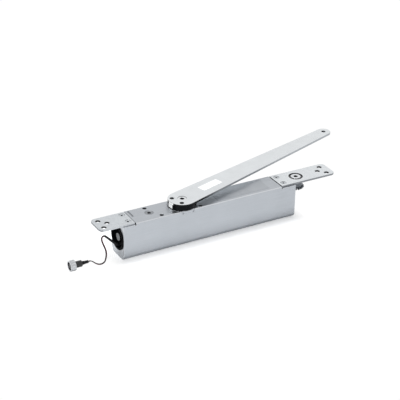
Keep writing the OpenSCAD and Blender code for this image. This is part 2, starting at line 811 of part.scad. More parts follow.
module lower_bearing() {
    color("goldenrod") difference() {
        z_cyl(foot_bearing_d / 2, floor_t + end_gap, bore_low - end_gap);
        z_cyl(foot_d / 2 + run_fit, floor_t, bore_low);
    }
}

module shaft_seal() {
    color("black") difference() {
        z_cyl(bearing_d / 2, seal_low, body_h - end_gap);
        z_cyl(journal_d / 2 + run_fit, seal_low - cut, body_h);
    }
}

module bearing_cover() {
    color("silver") difference() {
        union() {
            intersection() {
                z_cyl(cover_d / 2, cover_seat + seat_fit, body_h);
                translate([-cover_d, -half_w + seat_fit, 0])
                    cube([2 * cover_d, body_w - 2 * seat_fit, body_h]);
            }
            z_cyl(neck_d / 2, neck_low, body_h - cover_t / 2);
        }
        z_cyl(bearing_d / 2 + seat_fit, neck_low - cut, body_h + cut);
        translate([-cover_d, 0, 0]) rotate([90, 0, 90]) linear_extrude(2 * cover_d) top_corners();
        seat_corners();
        cover_screw_places() translate([0, 0, body_h - cover_screw_drop])
            csk_hole(cover_screw_head, cover_screw_d, cover_screw_l, cover_screw_drop);
    }
}

module cover_screws() {
    color("gray") cover_screw_places() translate([0, 0, body_h - cover_screw_drop])
        csk_screw(cover_screw_head, cover_screw_d, cover_screw_l, cover_screw_hex);
}

// Outline of the piston window, seen from above, with the rack along its back
module window_outline() {
    half = tooth_pitch / 4 - backlash / 2;
    spread = tan(flank_angle);
    polygon(concat(
        [[window_x1, front_wall_y], [window_x2, front_wall_y], [window_x2, rack_root]],
        [for (k = [tooth_last : -1 : tooth_first]) let (x = k * tooth_pitch) each [
            [x + half + (rack_root - pitch_r) * spread, rack_root],
            [x + half - (pitch_r - rack_tip) * spread, rack_tip],
            [x - half + (pitch_r - rack_tip) * spread, rack_tip],
            [x - half - (rack_root - pitch_r) * spread, rack_root]
        ]],
        [[window_x1, rack_root]]
    ));
}

module piston() {
    color("slategray") difference() {
        union() {
            x_cyl(piston_r, piston_x1, piston_x2, 0, bore_z);
            x_cyl(guide_d / 2, piston_x2 - cut, piston_x2 + guide_l, 0, bore_z);
        }
        translate([0, 0, bore_z - bore_r]) linear_extrude(bore_d) window_outline();
        for (x = [piston_x1 + head_l / 2, piston_x2 - foot_l / 2]) seal_groove(x);
        // Oil way with the pocket of the check ball
        x_cyl(oil_way_d / 2, piston_x1 - cut, window_x1 + cut, 0, bore_z);
        x_cyl(ball_d / 2 + end_gap, window_x1 - ball_d - end_gap, window_x1 + cut, 0, bore_z);
        x_cyl(rod_room_r, piston_x2 - foot_l / 2, piston_x2 + guide_l + cut, 0, bore_z);
    }
}

module seal_groove(x) {
    difference() {
        x_cyl(bore_r + cut, x - ring_w / 2 - slide_fit, x + ring_w / 2 + slide_fit, 0, bore_z);
        x_cyl(piston_r - ring_depth, x - ring_w, x + ring_w, 0, bore_z);
    }
}

module piston_seals() {
    color("black") for (x = [piston_x1 + head_l / 2, piston_x2 - foot_l / 2]) difference() {
        x_cyl(seal_r, x - ring_w / 2, x + ring_w / 2, 0, bore_z);
        x_cyl(piston_r - ring_depth + slide_fit, x - ring_w, x + ring_w, 0, bore_z);
    }
}

module check_valve_ball() {
    color("silver") translate([window_x1 - ball_d / 2 - end_gap / 2, 0, bore_z]) sphere(d = ball_d);
}

module closing_spring() {
    color("darkgray") coil((spring_d - wire_d) / 2, wire_d, spring_turns, spring_x1, spring_x2);
}

module spring_nut() {
    color("goldenrod") difference() {
        x_cyl(piston_r, nut_x1, nut_x2, 0, bore_z);
        x_cyl(rod_d / 2 + run_fit, nut_x1 - cut, nut_x2 + cut, 0, bore_z);
    }
}

module adjusting_spindle() {
    color("silver") union() {
        x_cyl(rod_d / 2, rod_x1, adjuster_x - bevel_keep * bevel_r - 1, 0, bore_z);
        x_cyl(collar_d / 2, collar_x1, collar_x2, 0, bore_z);
    }
}

// Bevel gear around Z with its apex at the origin, and its hub up to height hub_top
module bevel_gear(hub_r, hub_top, bore, turn) {
    root = bevel_point(back_root, 0, 1);
    front = bevel_point(back_root, 0, bevel_keep);
    shoulder = min(root[2] + abs(root[0] - hub_r) * 0.5 + 0.2, hub_top - end_gap);
    radii = [back_root - bevel_sink, for (k = [0 : 4]) back_base + (back_tip - back_base) * k / 4];
    count = len(radii);
    difference() {
        union() {
            rotate_extrude() polygon([
                [0, front[2]], [front[0], front[2]], [root[0], root[2]],
                [hub_r, shoulder], [hub_r, hub_top], [0, hub_top]
            ]);
            for (i = [0 : bevel_z - 1]) rotate([0, 0, turn + 360 * i / bevel_z]) polyhedron(
                points = [
                    for (k = [1, bevel_keep]) for (s = [-1, 1]) for (r = radii)
                        bevel_point(r, s * bevel_half(r), k)
                ],
                faces = concat(
                    [for (j = [0 : count - 2]) each [
                        [j, j + count, j + count + 1, j + 1],
                        [j + 2 * count, j + 2 * count + 1, j + 3 * count + 1, j + 3 * count],
                        [j, j + 1, j + 2 * count + 1, j + 2 * count],
                        [j + count, j + 3 * count, j + 3 * count + 1, j + count + 1]
                    ]],
                    [[0, 2 * count, 3 * count, count],
                     [count - 1, 2 * count - 1, 4 * count - 1, 3 * count - 1]]
                )
            );
        }
        z_cyl(bore, -cut, hub_top + cut);
    }
}

module spindle_bevel_gear() {
    color("dimgray") translate([adjuster_x, 0, bore_z]) rotate([0, -90, 0])
        bevel_gear(rod_room_r, adjuster_x - plug_x2 - end_gap, rod_d / 2 + seat_fit, 180 / bevel_z);
}

module adjuster_bevel_gear() {
    color("dimgray") translate([adjuster_x, 0, bore_z])
        bevel_gear(gear_hub_d / 2, plate_seat - bore_z - end_gap, stem_r + seat_fit, 0);
}

module adjuster_shaft() {
    color("silver") difference() {
        union() {
            z_cyl(stem_r, bore_z + bevel_keep * bevel_r + 1, plate_seat, adjuster_x);
            z_cyl(adjuster_d / 2, plate_seat - end_gap / 2, plate_top, adjuster_x);
        }
        z_hex(adjuster_hex, plate_top - socket_depth, plate_top + cut, adjuster_x);
    }
}

module adjuster_bush() {
    color("black") difference() {
        z_cyl(bush_d / 2, plate_seat, plate_top - bush_drop, adjuster_x);
        z_cyl(adjuster_d / 2 + run_fit, plate_seat - cut, plate_top, adjuster_x);
    }
}

module right_end_plug() {
    color("silver") difference() {
        x_cyl(bore_r - slide_fit, plug_x1, plug_x2, 0, bore_z);
        x_cyl(rod_d / 2 + run_fit, plug_x1 - cut, plug_x2 + cut, 0, bore_z);
        oring_groove(plug_x1 + plug_l / 2);
    }
}

module oring_groove(x) {
    difference() {
        x_cyl(bore_r + cut, x - oring_d / 2 - end_gap, x + oring_d / 2 + end_gap, 0, bore_z);
        x_cyl(bore_r - oring_d - slide_fit, x - oring_d, x + oring_d, 0, bore_z);
    }
}

module right_plug_seal() {
    color("black") x_ring(bore_r - oring_d / 2 - slide_fit / 2, oring_d, plug_x1 + plug_l / 2);
}

module plug_clip() {
    color("gray") difference() {
        x_cyl(bore_r + clip_t / 2 - end_gap / 2, clip_x1, clip_x2, 0, bore_z);
        x_cyl(bore_r - clip_t, clip_x1 - cut, clip_x2 + cut, 0, bore_z);
        translate([clip_x1 - cut, -clip_open / 2, 0]) cube([clip_t + 2 * cut, clip_open, bore_z]);
    }
}

module thrust_washer() {
    color("goldenrod") difference() {
        x_cyl(collar_d / 2 + 2, plug_x1 - washer_t - end_gap, plug_x1 - end_gap, 0, bore_z);
        x_cyl(rod_d / 2 + end_gap, plug_x1 - washer_t - 1, plug_x1, 0, bore_z);
    }
}

module left_end_cup() {
    face_x = left_x - end_gap - cup_flange_t;
    color("black") difference() {
        union() {
            x_cyl(bore_r - seat_fit, face_x, cup_x + cup_floor, 0, bore_z);
            x_cyl(bore_r + cup_flange, face_x, left_x - end_gap, 0, bore_z);
        }
        difference() {
            x_cyl(bore_r - seat_fit - cup_wall, face_x - cut, cup_x, 0, bore_z);
            x_cyl(cup_post_d / 2, cup_x - cup_post_l, cup_x + cut, 0, bore_z);
        }
        x_cyl(gland_d / 2 + seat_fit, left_x, cup_x + cup_floor + cut, cable_y, cable_z);
    }
}

module magnet_can() {
    color("gray") difference() {
        x_cyl(can_d / 2, can_x1, can_x2, 0, bore_z);
        x_cyl(can_d / 2 - can_wall, can_x1 + can_wall, can_x2 + cut, 0, bore_z);
        x_cyl(gland_d / 2 + seat_fit, can_x1 - cut, can_x1 + can_wall + cut, cable_y, cable_z);
    }
}

module magnet_coil() {
    color("peru") difference() {
        x_cyl(coil_r2, can_x1 + can_wall + end_gap, can_x2, 0, bore_z);
        x_cyl(coil_r1, can_x1, can_x2 + cut, 0, bore_z);
        x_cyl(gland_d / 2 + seat_fit, can_x1, can_x1 + can_wall + 2, cable_y, cable_z);
    }
}

module magnet_plunger() {
    color("silver") union() {
        x_cyl(plunger_d / 2, plunger_x1, plunger_x2, 0, bore_z);
        x_cyl(nose_r, plunger_x2 - cut, block_x1 + nose_l, 0, bore_z);
    }
}

module plunger_spring() {
    x2 = plunger_x1 - end_gap;
    color("darkgray") coil(plunger_d / 2 - 1.5, return_wire, return_turns, x2 - return_l, x2);
}

module valve_block() {
    color("silver") difference() {
        x_cyl(bore_r - slide_fit, block_x1, block_x2, 0, bore_z);
        x_cyl(nose_r + end_gap, block_x1 - cut, block_x1 + nose_l + plunger_travel + end_gap, 0, bore_z);
        x_cyl(oil_way_d / 2, block_x1, block_x2 + cut, 0, bore_z);
        oring_groove((block_x1 + block_x2) / 2);
    }
}

module left_plug_seal() {
    color("black") x_ring(bore_r - oring_d / 2 - slide_fit / 2, oring_d, (block_x1 + block_x2) / 2);
}

// Valve screw with a waist for its seal and a hexagon socket
module valve_screw(x, y) {
    top = body_h - valve_drop;
    color("gray") difference() {
        z_cyl(valve_d / 2, top - valve_l, top, x, y);
        z_hex(small_hex, top - valve_socket, top + cut, x, y);
        difference() {
            z_cyl(valve_d, valve_seal_z - valve_waist_l / 2, valve_seal_z + valve_waist_l / 2, x, y);
            z_cyl(valve_d / 2 - 1, top - valve_l, top, x, y);
        }
    }
}

module closing_valve() {
    valve_screw(left_x + closing_in, valve_y);
}

module latching_valve() {
    valve_screw(left_x + latching_in, -valve_y);
}

module backcheck_valve() {
    valve_screw(backcheck_x, -valve_y);
}

module valve_seals() {
    color("black") valve_places() translate([0, 0, valve_seal_z])
        rotate_extrude() translate([valve_d / 2 - 0.5, 0]) circle(r = 0.45, $fn = 24);
}

module filler_plug() {
    top = body_h - end_gap;
    x = left_x + closing_in;
    color("silver") difference() {
        z_cyl(filler_d / 2, top - filler_t, top, x);
        z_hex(filler_hex, top - filler_t / 2, top + cut, x);
    }
}

module locking_key() {
    color("dimgray") translate([left_x + key_in - key_w / 2 + seat_fit, seat_fit, body_h - key_depth])
        cube([key_w - 2 * seat_fit, key_l - 2 * seat_fit, key_depth - 1]);
}

module cable_gland() {
    color("black") difference() {
        x_cyl(gland_d / 2, gland_x, can_x1 + can_wall, cable_y, cable_z);
        x_cyl(cable_d / 4, cup_x, can_x1 + can_wall + cut, cable_y, cable_z);
    }
}

module cable() {
    color("maroon") sweep_tube(ROUTE, cable_d / 2, 8, [0, 0, 1]);
}

module cable_sleeve() {
    color("black") x_cyl(sleeve_d / 2, sleeve_x1, cable_end, plug_y, plug_z);
}

module contact_places() {
    for (a = [45 : 90 : 315])
        translate([0, plug_y + contact_circle * cos(a), plug_z + contact_circle * sin(a)]) children();
}

module plug_body() {
    color("black") difference() {
        union() {
            x_cyl(plug_body_d / 2, plug_body_x1 - 1, sleeve_x1, plug_y, plug_z);
            x_cyl(ring_d / 2 - 2 * ring_wall, ring_x1 + 1, plug_body_x1 - 2 * end_gap, plug_y, plug_z);
        }
        contact_places() x_cyl(contact_r + seat_fit, ring_x1, ring_x1 + 5);
    }
}

module plug_contacts() {
    color("gold") contact_places() x_cyl(contact_r, ring_x1 + 1.4, ring_x1 + 4.9);
}

module coupling_ring() {
    color("silver") difference() {
        x_cyl(ring_d / 2, ring_x1, ring_x2, plug_y, plug_z);
        x_cyl(ring_d / 2 - ring_wall, ring_x1 - cut, plug_body_x1 - end_gap, plug_y, plug_z);
        x_cyl(plug_body_d / 2 + run_fit, ring_x1, ring_x2 + cut, plug_y, plug_z);
        for (i = [0 : ring_grooves - 1]) let (a = 360 * (i + 0.5) / ring_grooves)
            translate([0, plug_y + groove_at * sin(a), plug_z - groove_at * cos(a)])
                x_cyl(groove_r, ring_x1 + 1.5, ring_x2 + cut);
    }
}

module type_plate() {
    color("gainsboro") translate([type_x, type_y - type_w / 2, body_h])
        cube([type_l, type_w, label_t]);
}

module arm_label() {
    color("white") rotate([0, 0, arm_rest]) translate([label_x, -label_w / 2, arm_top])
        cube([label_l, label_w, label_t]);
}

housing();
left_mounting_plate();
right_mounting_plate();
left_plate_screws();
right_plate_screws();
arm();
arm_hub();
arm_screws();
hub_screw();
spindle();
upper_bearing();
lower_bearing();
shaft_seal();
bearing_cover();
cover_screws();
piston();
piston_seals();
check_valve_ball();
closing_spring();
spring_nut();
adjusting_spindle();
spindle_bevel_gear();
adjuster_shaft();
adjuster_bevel_gear();
adjuster_bush();
right_end_plug();
right_plug_seal();
plug_clip();
thrust_washer();
left_end_cup();
magnet_can();
magnet_coil();
magnet_plunger();
plunger_spring();
valve_block();
left_plug_seal();
closing_valve();
latching_valve();
backcheck_valve();
valve_seals();
filler_plug();
locking_key();
cable_gland();
cable();
cable_sleeve();
plug_body();
plug_contacts();
coupling_ring();
type_plate();
arm_label();
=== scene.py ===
import json
import math
import bmesh
import bpy
from mathutils import Matrix, Vector


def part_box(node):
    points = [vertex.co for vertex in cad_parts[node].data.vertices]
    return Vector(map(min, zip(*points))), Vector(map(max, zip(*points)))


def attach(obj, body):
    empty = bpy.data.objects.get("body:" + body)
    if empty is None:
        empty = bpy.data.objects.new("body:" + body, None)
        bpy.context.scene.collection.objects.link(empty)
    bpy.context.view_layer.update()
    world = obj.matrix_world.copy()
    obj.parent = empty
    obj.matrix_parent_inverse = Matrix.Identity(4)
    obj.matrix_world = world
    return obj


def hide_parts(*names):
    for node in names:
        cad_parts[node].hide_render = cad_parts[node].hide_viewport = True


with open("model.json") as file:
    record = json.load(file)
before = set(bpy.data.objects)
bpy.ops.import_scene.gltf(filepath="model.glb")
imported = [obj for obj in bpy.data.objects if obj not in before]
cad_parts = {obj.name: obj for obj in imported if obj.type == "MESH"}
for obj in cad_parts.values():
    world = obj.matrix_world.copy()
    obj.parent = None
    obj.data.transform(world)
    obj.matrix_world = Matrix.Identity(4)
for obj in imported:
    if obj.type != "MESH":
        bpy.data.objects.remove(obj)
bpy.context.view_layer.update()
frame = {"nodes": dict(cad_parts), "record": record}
nodes = frame["nodes"]
bodyOfNode = {name: body for body, names in frame["record"]["behaviour"]["bodies"].items() for name in names}
mm = 0.001
print("frame loaded,", len(nodes), "pieces")


# Camera at the photograph's viewpoint: turned to the right, looking down, a little tilted
view = {"place": (-0.82537, -1.51182, 0.98081), "turn": 29.493, "down": 28.008, "tilt": 1.038, "lens": 121.73,
        "sensor": 36, "farthest": 50}


def placeCamera():
    data = bpy.data.cameras.new("photoCamera")
    data.lens = view["lens"]
    data.sensor_width = view["sensor"]
    data.clip_end = view["farthest"]
    camera = bpy.data.objects.new("photoCamera", data)
    turn = Matrix.Rotation(-math.radians(view["turn"]), 4, "Z")
    down = Matrix.Rotation(math.radians(90 - view["down"]), 4, "X")
    tilt = Matrix.Rotation(math.radians(view["tilt"]), 4, "Z")
    camera.matrix_world = Matrix.Translation(view["place"]) @ turn @ down @ tilt
    bpy.context.scene.collection.objects.link(camera)
    bpy.context.scene.camera = camera


placeCamera()
print("camera placed")


# Linear colour of an sRGB hex text, by the standard sRGB curve
def linearColour(hexText):
    parts = [int(hexText[i:i + 2], 16) / 255 for i in (1, 3, 5)]
    return tuple(c / 12.92 if c <= 0.04045 else ((c + 0.055) / 1.055) ** 2.4 for c in parts) + (1.0,)


# Adds a node; settings go to its properties or sockets, links join its inputs to other nodes
def addNode(tree, kind, settings=None, links=None):
    node = tree.nodes.new(kind)
    for key, value in (settings or {}).items():
        if isinstance(key, str) and hasattr(node, key):
            setattr(node, key, value)
        else:
            node.inputs[key].default_value = value
    for key, socket in (links or {}).items():
        tree.links.new(socket, node.inputs[key])
    return node


def startMaterial(name, metallic=0.0):
    material = bpy.data.materials.new(name)
    material.use_nodes = True
    tree = material.node_tree
    tree.nodes.clear()
    shader = addNode(tree, "ShaderNodeBsdfPrincipled", {"Metallic": metallic})
    output = addNode(tree, "ShaderNodeOutputMaterial")
    tree.links.new(shader.outputs["BSDF"], output.inputs["Surface"])
    place = addNode(tree, "ShaderNodeTexCoord").outputs["Object"]
    return material, tree, shader, place


# Patterns are read between these two values; reliefs have these depths in millimetres
patternEnds = {"From Min": 0.3, "From Max": 0.7}
reliefDepth = {"lined": 0.02, "plated": 0.015, "turned": 0.01, "faded": 0.01, "moulded": 0.03}


# Tone and gloss follow one pattern between the two ends of the look, relief follows the finer one
def finishSurface(tree, shader, look, pattern, grain, kind):
    tone = addNode(tree, "ShaderNodeMapRange", patternEnds, {"Value": pattern})
    colour = addNode(tree, "ShaderNodeMix", {"data_type": "RGBA", 6: linearColour(look["dark"]),
                                             7: linearColour(look["light"])}, {0: tone.outputs["Result"]})
    gloss = addNode(tree, "ShaderNodeMapRange", {**patternEnds, "To Min": look["roughness"][0],
                                                 "To Max": look["roughness"][1]}, {"Value": pattern})
    relief = addNode(tree, "ShaderNodeBump", {"Strength": look["relief"], "Distance": reliefDepth[kind] * mm},
                     {"Height": grain})
    tree.links.new(colour.outputs[2], shader.inputs["Base Color"])
    tree.links.new(gloss.outputs["Result"], shader.inputs["Roughness"])
    tree.links.new(relief.outputs["Normal"], shader.inputs["Normal"])


# Cloudy noise with spots of one size in millimetres
def makeClouds(tree, place, size, **settings):
    return addNode(tree, "ShaderNodeTexNoise", {"Scale": 1 / (size * mm), "Detail": 3.0, **settings},
                   {"Vector": place}).outputs["Fac"]


# Two patterns in one; the share is that of the second
def mixPatterns(tree, share, first, second):
    return addNode(tree, "ShaderNodeMix", {"data_type": "FLOAT", 0: share}, {2: first, 3: second}).outputs[0]


# Metal whose grain runs as long lines along one axis: extruded, drawn, sawn or wound
def linedMetal(name, look):
    material, tree, shader, place = startMaterial(name, metallic=1.0)
    stretch = [1 / (look["spacing"] * mm)] * 3
    stretch["XYZ".index(look["along"])] /= look["length"]
    lay = addNode(tree, "ShaderNodeMapping", {"Scale": stretch}, {"Vector": place})
    lines = addNode(tree, "ShaderNodeTexNoise", {"Scale": 1.0, "Detail": 3.0, "Roughness": 0.6},
                    {"Vector": lay.outputs["Vector"]}).outputs["Fac"]
    cloud = makeClouds(tree, place, look["cloud"])
    finishSurface(tree, shader, look, mixPatterns(tree, look["clouding"], lines, cloud), lines, "lined")
    return material


# Metal with a plated or coated skin: small crystals or peel, under wider clouds
def platedMetal(name, look):
    material, tree, shader, place = startMaterial(name, metallic=1.0)
    crystals = addNode(tree, "ShaderNodeTexVoronoi", {"feature": "SMOOTH_F1", "Scale": 1 / (look["crystal"] * mm),
                                                      "Smoothness": 0.6}, {"Vector": place}).outputs["Distance"]
    cloud = makeClouds(tree, place, look["cloud"], Detail=4.0, Roughness=0.55)
    finishSurface(tree, shader, look, mixPatterns(tree, look["clouding"], crystals, cloud), crystals, "plated")
    return material


# Pitch of the wave texture's rings at scale 1, and the share of clouds over them
ringPattern = {"pitchAtScaleOne": math.pi / 10, "clouding": 0.6}


# Metal turned on a lathe: fine rings around its own axis
def turnedMetal(name, look):
    material, tree, shader, place = startMaterial(name, metallic=1.0)
    centred = addNode(tree, "ShaderNodeMapping", {"Location": [-c * mm for c in look["centre"]]}, {"Vector": place})
    rings = addNode(tree, "ShaderNodeTexWave", {"wave_type": "RINGS", "rings_direction": look["axis"],
                                                "Scale": ringPattern["pitchAtScaleOne"] / (look["pitch"] * mm)},
                    {"Vector": centred.outputs["Vector"]}).outputs["Fac"]
    cloud = makeClouds(tree, place, look["cloud"])
    finishSurface(tree, shader, look, mixPatterns(tree, ringPattern["clouding"], rings, cloud), rings, "turned")
    return material


# Pattern values at the dark and the bright end of a fade, and the share of marks over it
fading = {"darkest": 0.2, "brightest": 0.8, "marks": 0.2}


# Metal that goes from dark to bright between two places on one axis, broken up by a little noise
def fadedMetal(name, look):
    material, tree, shader, place = startMaterial(name, metallic=1.0)
    along = addNode(tree, "ShaderNodeSeparateXYZ", None, {"Vector": place}).outputs[look["along"]]
    level = addNode(tree, "ShaderNodeMapRange", {
        "From Min": look["darkAt"] * mm, "From Max": look["lightAt"] * mm,
        "To Min": fading["darkest"], "To Max": fading["brightest"]}, {"Value": along}).outputs["Result"]
    marks = makeClouds(tree, place, look["spacing"])
    finishSurface(tree, shader, look, mixPatterns(tree, fading["marks"], level, marks), marks, "faded")
    return material


# Moulded, extruded or printed plastic and rubber: a fine skin and a gloss that varies a little
def mouldedPlastic(name, look):
    material, tree, shader, place = startMaterial(name)
    shader.inputs["IOR"].default_value = look["ior"]
    shader.inputs["Specular IOR Level"].default_value = look.get("sheen", 0.5)
    skin = makeClouds(tree, place, look["grain"])
    cloud = makeClouds(tree, place, look["cloud"])
    finishSurface(tree, shader, look, cloud, skin, "moulded")
    return material


# Extruded aluminium, satin anodised: an even cool grey with faint lines along the body
housingAluminium = linedMetal("satinAnodisedAluminium", {
    "dark": "#aeb2b7", "light": "#bcc0c5", "roughness": (0.34, 0.4), "relief": 0.15,
    "along": "X", "spacing": 0.5, "length": 90, "cloud": 30, "clouding": 0.3})

# The same aluminium where the body was sawn off and milled: short upright strokes, a little brighter
sawnAluminium = linedMetal("sawnAnodisedAluminium", {
    "dark": "#b4b7bb", "light": "#c9ccd0", "roughness": (0.36, 0.46), "relief": 0.3,
    "along": "Z", "spacing": 0.6, "length": 25, "cloud": 12, "clouding": 0.3})

# Honed bore: darker than the outside, as painted shade inside the bore
boreShadeAluminium = turnedMetal("honedBorePaintedShade", {
    "dark": "#6c6f73", "light": "#8b8e92", "roughness": (0.24, 0.34), "relief": 0.2,
    "axis": "X", "centre": (0, 0, 30), "pitch": 0.7, "cloud": 6})

# Aluminium on the body's long edges, paler than the faces: painted highlights as the brightest lines
edgeHighlightAluminium = linedMetal("edgePaintedHighlightAluminium", {
    "dark": "#c8cbcf", "light": "#d8dadd", "roughness": (0.3, 0.4), "relief": 0.15,
    "along": "X", "spacing": 0.4, "length": 60, "cloud": 12, "clouding": 0.5})

# Aluminium in the narrow joint lines: dark grey, as painted shade in the slits
seamShadeAluminium = linedMetal("seamPaintedShadeAluminium", {
    "dark": "#46484b", "light": "#606266", "roughness": (0.4, 0.5), "relief": 0.3,
    "along": "Z", "spacing": 0.5, "length": 10, "cloud": 4, "clouding": 0.5})

# Turned plugs: rings around the plug's own axis, on dull zinc-plated steel and on aluminium
fillerSteel = turnedMetal("turnedFillerSteel", {
    "dark": "#84878b", "light": "#a2a5a9", "roughness": (0.28, 0.36), "relief": 0.25,
    "axis": "Z", "centre": (-53.5, 0, 57), "pitch": 0.9, "cloud": 5})
plugAluminium = turnedMetal("turnedPlugAluminium", {
    "dark": "#a6a9ad", "light": "#c2c5c8", "roughness": (0.26, 0.36), "relief": 0.25,
    "axis": "X", "centre": (170, 0, 30), "pitch": 0.7, "cloud": 5})

# Zinc-plated steel of the two plates, tumbled: pale and softly mottled by the zinc crystals,
# the left one greyer than the right
plateSteel = platedMetal("satinZincSteel", {
    "dark": "#c2c6ca", "light": "#d6dadd", "roughness": (0.36, 0.46), "relief": 0.3,
    "crystal": 0.8, "cloud": 4, "clouding": 0.6})
palePlateSteel = platedMetal("paleZincSteel", {
    "dark": "#d5d9dc", "light": "#e4e7e9", "roughness": (0.36, 0.46), "relief": 0.25,
    "crystal": 0.8, "cloud": 4, "clouding": 0.65})

# Sheared edge of a plate: the die leaves it rougher and darker than the faces
shearedSteel = linedMetal("shearedSteelEdge", {
    "dark": "#7d8084", "light": "#9c9fa3", "roughness": (0.42, 0.55), "relief": 0.4,
    "along": "Z", "spacing": 0.5, "length": 12, "cloud": 6, "clouding": 0.4})

# Long edges of the left plate, which is cut from bar: paler than a sheared one
milledSteel = linedMetal("milledSteelEdge", {
    "dark": "#b6b9bd", "light": "#cdd0d3", "roughness": (0.4, 0.5), "relief": 0.3,
    "along": "Z", "spacing": 0.5, "length": 12, "cloud": 6, "clouding": 0.4})

# Walls of drilled holes and key sockets: the darkest steel, as painted shade
holeShadeSteel = linedMetal("drilledHolePaintedShade", {
    "dark": "#3c3e41", "light": "#55575b", "roughness": (0.4, 0.5), "relief": 0.3,
    "along": "Z", "spacing": 0.4, "length": 8, "cloud": 3, "clouding": 0.5})

# Countersink cut into the plate: bright cut steel that darkens with depth as painted shade
countersinkPaintedShade = fadedMetal("countersinkPaintedShade", {
    "dark": "#242527", "light": "#d9dcde", "roughness": (0.3, 0.4), "relief": 0.2,
    "along": "Z", "darkAt": 56.4, "lightAt": 57.3, "spacing": 0.4})

# Milled rim of the arm: painted shade, black at the hub end and fading to bare steel
armRimShadeSteel = fadedMetal("armRimPaintedShade", {
    "dark": "#1b1c1e", "light": "#aaadb1", "roughness": (0.32, 0.44), "relief": 0.3,
    "along": "X", "darkAt": 26, "lightAt": 66, "spacing": 0.5})

# Silver-coated bar steel: the palest surface, almost even, with a faint peel
armSteel = platedMetal("satinSilverSteel", {
    "dark": "#d9dcde", "light": "#e2e5e7", "roughness": (0.4, 0.48), "relief": 0.2,
    "crystal": 0.6, "cloud": 16, "clouding": 0.7})

# Ground and polished steel: mirrors light and dark, only slightly soft
polishedSteel = platedMetal("polishedSteel", {
    "dark": "#d2d5d7", "light": "#e4e6e8", "roughness": (0.12, 0.18), "relief": 0.06,
    "crystal": 0.6, "cloud": 5, "clouding": 0.5})

# Blackened steel, turned and oiled: nearly black, with a clear gloss; on the hub the black is also a painted dark
# reflection
blackenedSteelAndDarkReflection = turnedMetal("blackenedSteelAndPaintedReflection", {
    "dark": "#17181a", "light": "#242629", "roughness": (0.2, 0.28), "relief": 0.15,
    "axis": "Z", "centre": (0, 0, 60), "pitch": 0.6, "cloud": 4})

# Zinc-plated cold-headed screws: clear bluish shine with small wear spots
screwSteel = platedMetal("zincPlatedScrewSteel", {
    "dark": "#a9adb2", "light": "#d2d6d9", "roughness": (0.22, 0.34), "relief": 0.25,
    "crystal": 0.5, "cloud": 1.5, "clouding": 0.7})

# Adjuster head, turned and plated: bright rings around the key socket
adjusterSteel = turnedMetal("turnedAdjusterSteel", {
    "dark": "#cfd2d5", "light": "#e3e6e8", "roughness": (0.24, 0.32), "relief": 0.2,
    "axis": "Z", "centre": (194.5, 0, 57), "pitch": 0.6, "cloud": 4})

# Phosphated gear steel, cut and oiled: dark grey with a soft oily shine
gearSteel = platedMetal("oiledGearSteel", {
    "dark": "#4c4f53", "light": "#7a7e83", "roughness": (0.22, 0.34), "relief": 0.3,
    "crystal": 0.5, "cloud": 2, "clouding": 0.6})

# Oil-tempered spring wire: brown-grey, smooth along the wire
springSteel = platedMetal("oilTemperedWire", {
    "dark": "#55534f", "light": "#6f6c67", "roughness": (0.28, 0.4), "relief": 0.15,
    "crystal": 0.5, "cloud": 3, "clouding": 0.7})

# Sintered bronze, pressed: warm and slightly porous
bearingBronze = platedMetal("sinteredBronze", {
    "dark": "#8f6b3c", "light": "#b58c55", "roughness": (0.35, 0.5), "relief": 0.5,
    "crystal": 0.35, "cloud": 2, "clouding": 0.4})

# Enamelled copper wire, wound in tight turns: red-brown with a varnish shine
coilCopper = linedMetal("varnishedCopper", {
    "dark": "#7a3b1c", "light": "#a45a30", "roughness": (0.22, 0.3), "relief": 0.6,
    "along": "Y", "spacing": 0.5, "length": 20, "cloud": 3, "clouding": 0.2})

# Nickel-plated brass, turned around the plug's axis: bright and cool
ringNickel = turnedMetal("nickelPlatedBrass", {
    "dark": "#b9bbbe", "light": "#dcdee0", "roughness": (0.2, 0.3), "relief": 0.2,
    "axis": "X", "centre": (-179, -8.5, 7.8), "pitch": 0.6, "cloud": 2.5})

# Gold flash on the contact pins
contactGold = platedMetal("goldFlash", {
    "dark": "#c99a45", "light": "#e0b866", "roughness": (0.18, 0.26), "relief": 0.1,
    "crystal": 0.3, "cloud": 1, "clouding": 0.5})

# Metallised polyester foil: grey like the housing, but smoother
labelFoil = linedMetal("metallisedLabelFoil", {
    "dark": "#a3a7ac", "light": "#b3b7bc", "roughness": (0.28, 0.34), "relief": 0.06,
    "along": "X", "spacing": 0.5, "length": 40, "cloud": 14, "clouding": 0.6})

# Glass-filled polyamide, injection moulded: black with a low sheen, and the cup's own eroded, matt surface
blackPolyamide = mouldedPlastic("blackPolyamide", {
    "dark": "#0d0d0f", "light": "#1a1a1d", "roughness": (0.26, 0.36), "relief": 0.3, "grain": 0.25, "cloud": 4,
    "ior": 1.53})
mattPolyamide = mouldedPlastic("mattBlackPolyamide", {
    "dark": "#08080a", "light": "#101012", "roughness": (0.5, 0.62), "relief": 0.35, "grain": 0.3, "cloud": 4,
    "ior": 1.53, "sheen": 0.02})

# End of the post in the cup: grey
greyPostEnd = mouldedPlastic("greyPostEndFinish", {
    "dark": "#393c3f", "light": "#4e5154", "roughness": (0.24, 0.34), "relief": 0.2, "grain": 0.4, "cloud": 5,
    "ior": 1.5})

# Nitrile rubber, moulded: matt black
sealRubber = mouldedPlastic("nitrileRubber", {
    "dark": "#0e0e10", "light": "#18181b", "roughness": (0.55, 0.7), "relief": 0.3, "grain": 0.2, "cloud": 3,
    "ior": 1.52, "sheen": 0.3})

# PVC wire insulation, extruded: one black and one dark red core, softly glossy
blackInsulation = mouldedPlastic("blackWireInsulation", {
    "dark": "#141114", "light": "#211d20", "roughness": (0.36, 0.46), "relief": 0.12, "grain": 0.2, "cloud": 3,
    "ior": 1.54})
redInsulation = mouldedPlastic("redWireInsulation", {
    "dark": "#42101a", "light": "#5d1724", "roughness": (0.36, 0.46), "relief": 0.12, "grain": 0.2, "cloud": 3,
    "ior": 1.54})
